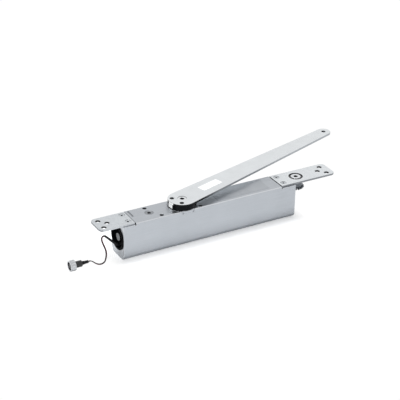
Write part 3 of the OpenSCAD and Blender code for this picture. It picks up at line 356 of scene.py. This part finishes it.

# Polyester label film: plain white, even, faintly satin; the same white is also the painted highlight on the hub's
# flat and the arm's rim
labelWhiteAndHighlight = mouldedPlastic("whiteLabelFilmAndPaintedHighlight", {
    "dark": "#f4f6f6", "light": "#fdfefe", "roughness": (0.35, 0.42), "relief": 0.08, "grain": 0.5, "cloud": 8,
    "ior": 1.5})
print("materials made")


# Cable: a loosely twisted pair, left-handed, that leaves the gland, rises in a loop and lies down to the plug
cable = {
    "route": [
        (-98, 0.8, 17.4), (-101.5, 0.5, 17.3), (-105, -0.2, 18.8), (-108.3, 0.8, 21.3), (-111.5, 2.3, 24.1),
        (-114.6, 3.7, 27), (-117.2, 5.5, 29.4), (-118.7, 8.7, 30.4), (-119.3, 12.4, 29.4), (-121, 14.9, 26.4),
        (-121.6, 15.1, 22.5), (-121.4, 13.2, 19), (-120.7, 11, 15.5), (-120, 8.4, 12.1), (-119.9, 5.2, 8.8),
        (-121.1, 1.6, 5.9), (-123.3, -2.5, 4.4), (-125.9, -5.9, 2), (-129, -9.5, 1.3), (-132.7, -12.3, 1.4),
        (-136.8, -13.8, 1.7), (-141, -13.2, 2.4), (-144.4, -10.7, 3.8), (-147.5, -8.8, 6.2), (-150.8, -8.5, 7.8),
        (-154, -8.5, 7.8)],
    "length": 106, "diameter": 2.6, "core": 1.3, "twist": -120, "phase": 60, "pointsPerSpan": 8}


# Points of one smooth line through the route, in metres
def smoothRoute(points, perSpan):
    p = [Vector(q) * mm for q in points]
    p = [2 * p[0] - p[1]] + p + [2 * p[-1] - p[-2]]
    line = []
    for a, b, c, d in zip(p, p[1:], p[2:], p[3:]):
        for k in range(perSpan):
            t = k / perSpan
            line.append(0.5 * (2 * b + (c - a) * t + (2 * a - 5 * b + 4 * c - d) * t ** 2
                               + (3 * b - a - 3 * c + d) * t ** 3))
    return line + [p[-2]]


# One core of the pair: a tube that winds around the line
def windCore(line, phase, radius):
    side = Vector((0, 0, 1))
    travelled = 0
    data = bpy.data.curves.new("core", "CURVE")
    data.dimensions = "3D"
    data.bevel_depth = radius
    data.bevel_resolution = 3
    data.use_fill_caps = True
    spline = data.splines.new("POLY")
    spline.points.add(len(line) - 1)
    for i, point in enumerate(line):
        ahead = (line[min(i + 1, len(line) - 1)] - line[max(i - 1, 0)]).normalized()
        side = (side - side.dot(ahead) * ahead).normalized()
        travelled += (point - line[max(i - 1, 0)]).length
        angle = phase + 2 * math.pi * travelled / (cable["twist"] * mm)
        out = math.cos(angle) * side + math.sin(angle) * ahead.cross(side)
        spline.points[i].co = (*(point + radius * out), 1)
    core = bpy.data.objects.new("core", data)
    bpy.context.scene.collection.objects.link(core)
    bpy.context.view_layer.update()
    mesh = bpy.data.meshes.new_from_object(core.evaluated_get(bpy.context.evaluated_depsgraph_get()))
    bpy.data.objects.remove(core)
    return mesh


def makeCable():
    line = smoothRoute(cable["route"], cable["pointsPerSpan"])
    pair = bmesh.new()
    for index, turned in enumerate((0, 180)):
        core = windCore(line, math.radians(cable["phase"] + turned), cable["core"] / 2 * mm)
        before = len(pair.faces)
        pair.from_mesh(core)
        pair.faces.ensure_lookup_table()
        for face in pair.faces[before:]:
            face.material_index = index
            face.smooth = True
    piece = keepPiece("cablePair", pair, "housing", "cable", [blackInsulation, redInsulation])
    return piece, line


# Turns a finished bmesh into a piece that rides on a body and stands for a CAD node
def keepPiece(name, shape, body, nodeName, materials):
    mesh = bpy.data.meshes.new(name)
    shape.to_mesh(mesh)
    shape.free()
    piece = bpy.data.objects.new(name, mesh)
    bpy.context.scene.collection.objects.link(piece)
    for material in materials:
        mesh.materials.append(material)
    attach(piece, body)
    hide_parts(nodeName)
    return piece


cablePiece, cableLine = makeCable()
print("cable laid")


# Spun rubber pieces: steps around, merge distance in millimetres, angle in degrees from which an edge is sharp
spun = {"steps": 40, "merge": 0.004, "sharp": 35}


# Round piece spun from its half outline around a line along the body
def spinAlongBody(outline, y, z):
    shape = bmesh.new()
    corners = [shape.verts.new((x * mm, y * mm, (z + r) * mm)) for x, r in outline]
    edges = [shape.edges.new(pair) for pair in zip(corners, corners[1:])]
    bmesh.ops.spin(shape, geom=corners + edges, cent=(0, y * mm, z * mm), axis=(1, 0, 0), angle=2 * math.pi,
                   steps=spun["steps"], use_merge=True)
    bmesh.ops.remove_doubles(shape, verts=shape.verts, dist=spun["merge"] * mm)
    bmesh.ops.recalc_face_normals(shape, faces=shape.faces)
    for face in shape.faces:
        face.smooth = True
    return shape


def keepRubber(name, shape, nodeName):
    piece = keepPiece(name, shape, "housing", nodeName, [sealRubber])
    piece.data.set_sharp_from_angle(angle=math.radians(spun["sharp"]))


# Ribbed boot between the plug and the cable: four ribs, tapering towards the cable
boot = {"from": -164.5, "to": -154, "wide": 2.9, "narrow": 2.2, "y": -8.5, "z": 7.8, "collar": 1.2, "plainEnds": 3,
        "ribs": 4, "groove": 0.5, "grooveShare": 0.4, "slope": 0.15, "ribGap": 0.1, "tipLength": 0.4, "tipRound": 0.3}


def makeBoot():
    pitch = (boot["to"] - boot["from"] - boot["plainEnds"]) / boot["ribs"]
    outline = [(boot["from"], 0), (boot["from"], boot["wide"]), (boot["from"] + boot["collar"], boot["wide"])]
    for i in range(boot["ribs"]):
        start = boot["from"] + boot["collar"] + i * pitch
        rib = boot["wide"] - (boot["wide"] - boot["narrow"]) * (i + 1) / boot["ribs"]
        low = rib - boot["groove"]
        grooveEnd = start + boot["grooveShare"] * pitch
        outline += [(start + boot["slope"], low), (grooveEnd, low),
                    (grooveEnd + boot["slope"], rib), (start + pitch - boot["ribGap"], rib)]
    outline += [(boot["to"] - boot["tipLength"], boot["narrow"]), (boot["to"], boot["narrow"] - boot["tipRound"]),
                (boot["to"], 0)]
    keepRubber("plugBoot", spinAlongBody(outline, boot["y"], boot["z"]), "cable_sleeve")


# Rubber gland with a tapered sleeve that follows the cable out of the cup
gland = {"y": 0.8, "z": 17.4, "sleeveLength": 30, "thick": 2.1, "thin": 1.6, "sides": 20,
         "outline": [(-92, 0), (-92, 2.8), (-96.2, 2.8), (-96.4, 2.3), (-96.8, 2.3), (-97, 2.5), (-97.7, 2.0),
                     (-98, 1.7), (-98, 0)]}


def makeGland(line):
    shape = spinAlongBody(gland["outline"], gland["y"], gland["z"])
    turns = [2 * math.pi * k / gland["sides"] for k in range(gland["sides"])]
    across = Vector((0, 0, 1))
    travelled = 0
    rings = []
    for here, ahead in zip(line, line[1:]):
        way = (ahead - here).normalized()
        across = (across - across.dot(way) * way).normalized()
        share = travelled / (gland["sleeveLength"] * mm)
        radius = (gland["thick"] + (gland["thin"] - gland["thick"]) * share) * mm
        rings.append([shape.verts.new(here + radius * (math.cos(a) * across + math.sin(a) * way.cross(across)))
                      for a in turns])
        if share > 1:
            break
        travelled += (ahead - here).length
    skin = [shape.faces.new((low[k - 1], low[k], high[k], high[k - 1]))
            for low, high in zip(rings, rings[1:]) for k in range(gland["sides"])]
    skin += [shape.faces.new(rings[0][::-1]), shape.faces.new(rings[-1])]
    bmesh.ops.recalc_face_normals(shape, faces=skin)
    for face in skin:
        face.smooth = True
    keepRubber("cableGland", shape, "cable_gland")


makeBoot()
makeGland(cableLine)
print("boot and gland made")


# Rounding of CAD pieces: merge distance in millimetres, angles in degrees
rounding = {"merge": 0.002, "flat": 0.5, "corner": 25, "segments": 2, "sharp": 50, "weight": 90}


# A merged copy of a CAD piece, with the small rounds that deburring and tumbling leave on its edges
def roundedCopy(nodeName, edge):
    shape = bmesh.new()
    shape.from_mesh(nodes[nodeName].data)
    bmesh.ops.remove_doubles(shape, verts=shape.verts, dist=rounding["merge"] * mm)
    bmesh.ops.dissolve_limit(shape, angle_limit=math.radians(rounding["flat"]), verts=shape.verts, edges=shape.edges)
    corners = [e for e in shape.edges if e.is_manifold and e.calc_face_angle(0) > math.radians(rounding["corner"])]
    bmesh.ops.bevel(shape, geom=corners, offset=edge * mm, offset_type="OFFSET", affect="EDGES",
                    segments=rounding["segments"], profile=0.5, material=-1, clamp_overlap=False, loop_slide=False)
    for face in shape.faces:
        face.smooth = True
        face.material_index = 0
    piece = keepPiece(nodeName + "Rounded", shape, bodyOfNode[nodeName], nodeName, [])
    piece.data.set_sharp_from_angle(angle=math.radians(rounding["sharp"]))
    weigh = piece.modifiers.new("evenShading", "WEIGHTED_NORMAL")
    weigh.keep_sharp = True
    weigh.weight = rounding["weight"]
    return piece


# Second finish on chosen faces of a piece
def coatFaces(piece, material, chosen):
    piece.data.materials.append(material)
    for face in piece.data.polygons:
        if chosen(face):
            face.material_index = len(piece.data.materials) - 1


# A wall's normal rises no more than this; a patch of wall that reaches less far in millimetres is a hole's
walls = {"rise": 0.5, "widestHole": 25}


# Upright walls of a flat piece, sorted into its rim and the walls of its holes by how far they reach
def coatWalls(piece, rimMaterial, holeMaterial):
    shape = bmesh.new()
    shape.from_mesh(piece.data)
    shape.faces.ensure_lookup_table()
    steep = {f.index for f in shape.faces if abs(f.normal.z) < walls["rise"]}
    rims, holes = set(), set()
    while steep:
        patch, rest = set(), [steep.pop()]
        while rest:
            index = rest.pop()
            patch.add(index)
            near = {f.index for e in shape.faces[index].edges for f in e.link_faces} & steep
            steep -= near
            rest += near
        spots = [v.co for i in patch for v in shape.faces[i].verts]
        span = max(max(s[k] for s in spots) - min(s[k] for s in spots) for k in (0, 1))
        (holes if span < walls["widestHole"] * mm else rims).update(patch)
    shape.free()
    coatFaces(piece, rimMaterial, lambda face: face.index in rims)
    coatFaces(piece, holeMaterial, lambda face: face.index in holes)


# Pieces that show, with the round on their edges in millimetres
shownPieces = {
    "housing": (0.35, housingAluminium),
    "left_mounting_plate": (0.25, plateSteel), "right_mounting_plate": (0.25, palePlateSteel),
    "left_plate_screws": (0.12, screwSteel), "right_plate_screws": (0.12, screwSteel),
    # The hub's black is partly its blackened finish and partly a painted dark reflection
    "arm": (0.35, armSteel), "arm_hub": (0.3, blackenedSteelAndDarkReflection),
    "arm_screws": (0.15, blackenedSteelAndDarkReflection), "hub_screw": (0.2, polishedSteel),
    "bearing_cover": (0.15, housingAluminium), "cover_screws": (0.1, screwSteel),
    "filler_plug": (0.25, fillerSteel), "locking_key": (0.15, fillerSteel),
    "closing_valve": (0.12, blackenedSteelAndDarkReflection), "latching_valve": (0.12, blackenedSteelAndDarkReflection),
    "backcheck_valve": (0.12, blackenedSteelAndDarkReflection),
    "adjuster_shaft": (0.3, adjusterSteel), "adjuster_bush": (0.15, blackPolyamide),
    "adjuster_bevel_gear": (0.12, gearSteel), "spindle_bevel_gear": (0.12, gearSteel),
    "right_end_plug": (0.3, plugAluminium), "plug_clip": (0.15, springSteel),
    "left_end_cup": (0.3, mattPolyamide), "plug_body": (0.25, blackPolyamide),
    "coupling_ring": (0.15, ringNickel), "type_plate": (0.05, labelFoil), "arm_label": (0.05, labelWhiteAndHighlight)}
shown = {}
for nodeName, (edge, material) in shownPieces.items():
    shown[nodeName] = roundedCopy(nodeName, edge)
    shown[nodeName].data.materials.append(material)

# Rims of the plates take their edge finish and the arm's rim its painted shade at the hub end; the walls of their
# holes take painted shade
for nodeName, rim in (("left_mounting_plate", milledSteel), ("right_mounting_plate", shearedSteel),
                      ("arm", armRimShadeSteel)):
    coatWalls(shown[nodeName], rim, holeShadeSteel)

# The left plate is cut from a bar with drawn sides, only its free end is sheared
freeEnd = {"length": 9, "outward": 0.3, "rise": 0.8}
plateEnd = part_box("left_mounting_plate")[0][0] + freeEnd["length"] * mm
coatFaces(shown["left_mounting_plate"], shearedSteel, lambda face: face.center.x < plateEnd
          and face.normal.x < -freeEnd["outward"] and abs(face.normal.z) < freeEnd["rise"])

# Countersinks are bright at the top and darker further down, as painted shade
countersink = {"depth": 0.3, "steepest": 0.5, "flattest": 0.9}
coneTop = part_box("left_mounting_plate")[1][2] - countersink["depth"] * mm
for nodeName in ("left_mounting_plate", "right_mounting_plate"):
    coatFaces(shown[nodeName], countersinkPaintedShade, lambda face: face.center.z < coneTop
              and countersink["steepest"] < face.normal.z < countersink["flattest"])

# Key sockets get painted shade below the top of each screw
socketDepth = 0.45
for nodeName in ("left_plate_screws", "right_plate_screws", "arm_screws", "hub_screw", "filler_plug",
                 "closing_valve", "latching_valve", "backcheck_valve", "cover_screws"):
    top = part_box(nodeName)[1][2]
    coatFaces(shown[nodeName], holeShadeSteel, lambda face: face.center.z < top - socketDepth * mm)
# The adjuster's key socket takes the same painted shade
adjuster = {"x": 194.5, "socketRadius": 3.6, "top": 57.2}
coatFaces(shown["adjuster_shaft"], holeShadeSteel, lambda face: face.center.z < adjuster["top"] * mm and math.hypot(
    face.center.x - adjuster["x"] * mm, face.center.y) < adjuster["socketRadius"] * mm)

# The body's sawn ends, and its honed bore with painted shade
bore = {"z": 30, "radius": 18.3, "endwise": 0.95, "sideways": 0.5}
coatFaces(shown["housing"], sawnAluminium, lambda face: abs(face.normal.x) > bore["endwise"])
coatFaces(shown["housing"], boreShadeAluminium, lambda face: abs(face.normal.x) < bore["sideways"] and math.hypot(
    face.center.y, face.center.z - bore["z"] * mm) < bore["radius"] * mm)

# Its outer edges with painted highlight lines, and the walls of the joint lines beside the two plates with painted
# shade
outside = {"edge": 18.5, "slant": 0.3, "seams": (-84.3, 158.7), "seamReach": 1.5, "seamFloor": 52, "endwise": 0.9}
coatFaces(shown["housing"], edgeHighlightAluminium, lambda face: sum(abs(c) > outside["slant"] for c in face.normal) > 1
          and face.normal.z > -outside["slant"] and abs(face.center.y) > outside["edge"] * mm)
coatFaces(shown["housing"], seamShadeAluminium, lambda face: abs(face.normal.x) > outside["endwise"]
          and face.center.z > outside["seamFloor"] * mm
          and min(abs(face.center.x - x * mm) for x in outside["seams"]) < outside["seamReach"] * mm)

# The small flat on the back of the hub, and the arm's rim above it, carry a matt white patch as a painted highlight
hub = {"armAngle": 17.4, "flatTurn": 10, "flatFit": 0.9999, "rimFit": 0.973}
flatTurn = math.radians(180 + hub["armAngle"] - hub["flatTurn"])
flatWay = Vector((math.cos(flatTurn), math.sin(flatTurn), 0))
coatFaces(shown["arm_hub"], labelWhiteAndHighlight, lambda face: face.normal.dot(flatWay) > hub["flatFit"])
coatFaces(shown["arm"], labelWhiteAndHighlight, lambda face: face.normal.dot(flatWay) > hub["rimFit"] and face.center.x < 0)

# The end of the post in the cup is a grey disc
post = {"end": -102, "radius": 6.2, "z": 30, "endwise": 0.9}
cupCorners = shown["left_end_cup"].data.vertices
coatFaces(shown["left_end_cup"], greyPostEnd, lambda face: face.normal.x < -post["endwise"]
          and face.center.x < post["end"] * mm
          and all(math.hypot(cupCorners[i].co.y, cupCorners[i].co.z - post["z"] * mm) < post["radius"] * mm
                  for i in face.vertices))
print("shown pieces rounded and coated")

# Pieces inside the housing and small ones keep their CAD shape
keptPieces = {
    "spindle": gearSteel, "upper_bearing": bearingBronze, "lower_bearing": bearingBronze,
    "shaft_seal": sealRubber, "piston": gearSteel, "piston_seals": sealRubber, "check_valve_ball": polishedSteel,
    "closing_spring": springSteel, "spring_nut": bearingBronze, "adjusting_spindle": screwSteel,
    "right_plug_seal": sealRubber, "thrust_washer": bearingBronze, "magnet_can": screwSteel,
    "magnet_coil": coilCopper, "magnet_plunger": screwSteel, "plunger_spring": springSteel,
    "valve_block": plugAluminium, "left_plug_seal": sealRubber, "valve_seals": sealRubber,
    "plug_contacts": contactGold}
for nodeName, material in keptPieces.items():
    for materialSlot in nodes[nodeName].material_slots:
        materialSlot.material = material
print("inner pieces finished")


# Room: a pale matt floor, and an even sky that the camera and the reflections see white;
# around its middle, which takes the shadows, the camera sees the floor as an even white light table
room = {"tableCentre": (37.5, 0), "tableHalf": (141, 90), "tableFade": 1.15, "tableGlow": 1.02,
        "floorSize": 8.0, "floorWhite": "#f4f5f6", "floorRoughness": 0.9, "floorGlow": 0.36, "floorMirrored": 0.05,
        "sky": 0.28}


# Two outputs that are 1 for rays from the camera and for rays by reflection or glass, else 0
def seenDirectly(tree):
    paths = addNode(tree, "ShaderNodeLightPath").outputs
    mirrored = addNode(tree, "ShaderNodeMath", {"operation": "MAXIMUM"}, {0: paths["Is Glossy Ray"],
                                                                          1: paths["Is Transmission Ray"]})
    return paths["Is Camera Ray"], mirrored.outputs[0]


def makeFloor():
    flat = bmesh.new()
    bmesh.ops.create_grid(flat, x_segments=2, y_segments=2, size=room["floorSize"] / 2)
    mesh = bpy.data.meshes.new("floor")
    flat.to_mesh(mesh)
    flat.free()
    floor = bpy.data.objects.new("floor", mesh)
    bpy.context.scene.collection.objects.link(floor)
    material, tree, shader, place = startMaterial("mattWhiteFloor")
    direct, mirrored = seenDirectly(tree)
    half = [1 / (h * mm) for h in room["tableHalf"]]
    shift = [-c * mm * h for c, h in zip(room["tableCentre"], half)]
    fromBody = addNode(tree, "ShaderNodeMapping", {"Location": (*shift, 0), "Scale": (*half, 0)}, {"Vector": place})
    fromBody = addNode(tree, "ShaderNodeVectorMath", {"operation": "ABSOLUTE"}, {0: fromBody.outputs["Vector"]})
    sides = addNode(tree, "ShaderNodeSeparateXYZ", None, {"Vector": fromBody.outputs["Vector"]}).outputs
    reach = addNode(tree, "ShaderNodeMath", {"operation": "MAXIMUM"}, {0: sides["X"], 1: sides["Y"]})
    table = addNode(tree, "ShaderNodeMapRange", {"From Min": 1.0, "From Max": room["tableFade"]},
                    {"Value": reach.outputs[0]})
    seenTable = addNode(tree, "ShaderNodeMath", {"operation": "MULTIPLY"}, {0: direct, 1: table.outputs["Result"]})
    paper = addNode(tree, "ShaderNodeMix", {"data_type": "RGBA", 6: linearColour(room["floorWhite"]),
                                            7: (0, 0, 0, 1)}, {0: seenTable.outputs[0]})
    tree.links.new(paper.outputs[2], shader.inputs["Base Color"])
    level = addNode(tree, "ShaderNodeMapRange", {"To Min": room["floorGlow"], "To Max": room["tableGlow"]},
                    {"Value": table.outputs["Result"]})
    glow = addNode(tree, "ShaderNodeMath", {"operation": "MULTIPLY"}, {0: direct, 1: level.outputs["Result"]})
    glow = addNode(tree, "ShaderNodeMath", {"operation": "MULTIPLY_ADD", 1: room["floorMirrored"]},
                   {0: mirrored, 2: glow.outputs[0]})
    shader.inputs["Roughness"].default_value = room["floorRoughness"]
    shader.inputs["Specular IOR Level"].default_value = 0.0
    shader.inputs["Emission Color"].default_value = (1, 1, 1, 1)
    tree.links.new(glow.outputs[0], shader.inputs["Emission Strength"])
    mesh.materials.append(material)


def makeSky():
    world = bpy.data.worlds.new("studio")
    bpy.context.scene.world = world
    world.use_nodes = True
    tree = world.node_tree
    tree.nodes.clear()
    direct, mirrored = seenDirectly(tree)
    seen = addNode(tree, "ShaderNodeMath", {"operation": "MAXIMUM"}, {0: direct, 1: mirrored})
    strength = addNode(tree, "ShaderNodeMapRange", {"To Min": room["sky"], "To Max": 1.0}, {"Value": seen.outputs[0]})
    sky = addNode(tree, "ShaderNodeBackground", {"Color": (1, 1, 1, 1)}, {"Strength": strength.outputs["Result"]})
    output = addNode(tree, "ShaderNodeOutputWorld")
    tree.links.new(sky.outputs["Background"], output.inputs["Surface"])


# The top box lights the floor and the matt pieces without glare on the metal,
# the low box on the left gives the upright edges their bright lines
softBoxes = {
    "topBox": {"from": (0, 0.42, 1.6), "to": (0.04, 0, 0.03), "size": (2.4, 0.75), "power": 31, "glare": False},
    "lowBox": {"from": (-1.25, -0.8, 0.45), "to": (-0.05, 0, 0.03), "size": (0.7, 0.6), "power": 10, "glare": True}}


def makeSoftBox(name, box):
    light = bpy.data.lights.new(name, "AREA")
    light.shape = "RECTANGLE"
    light.size, light.size_y = box["size"]
    light.energy = box["power"]
    lamp = bpy.data.objects.new(name, light)
    lamp.visible_glossy = box["glare"]
    lamp.visible_camera = False
    aim = Vector(box["to"]) - Vector(box["from"])
    lamp.matrix_world = Matrix.Translation(box["from"]) @ aim.to_track_quat("-Z", "Y").to_matrix().to_4x4()
    bpy.context.scene.collection.objects.link(lamp)


makeFloor()
makeSky()
for name, box in softBoxes.items():
    makeSoftBox(name, box)
bpy.context.scene.view_settings.view_transform = "Standard"
print("room lit")
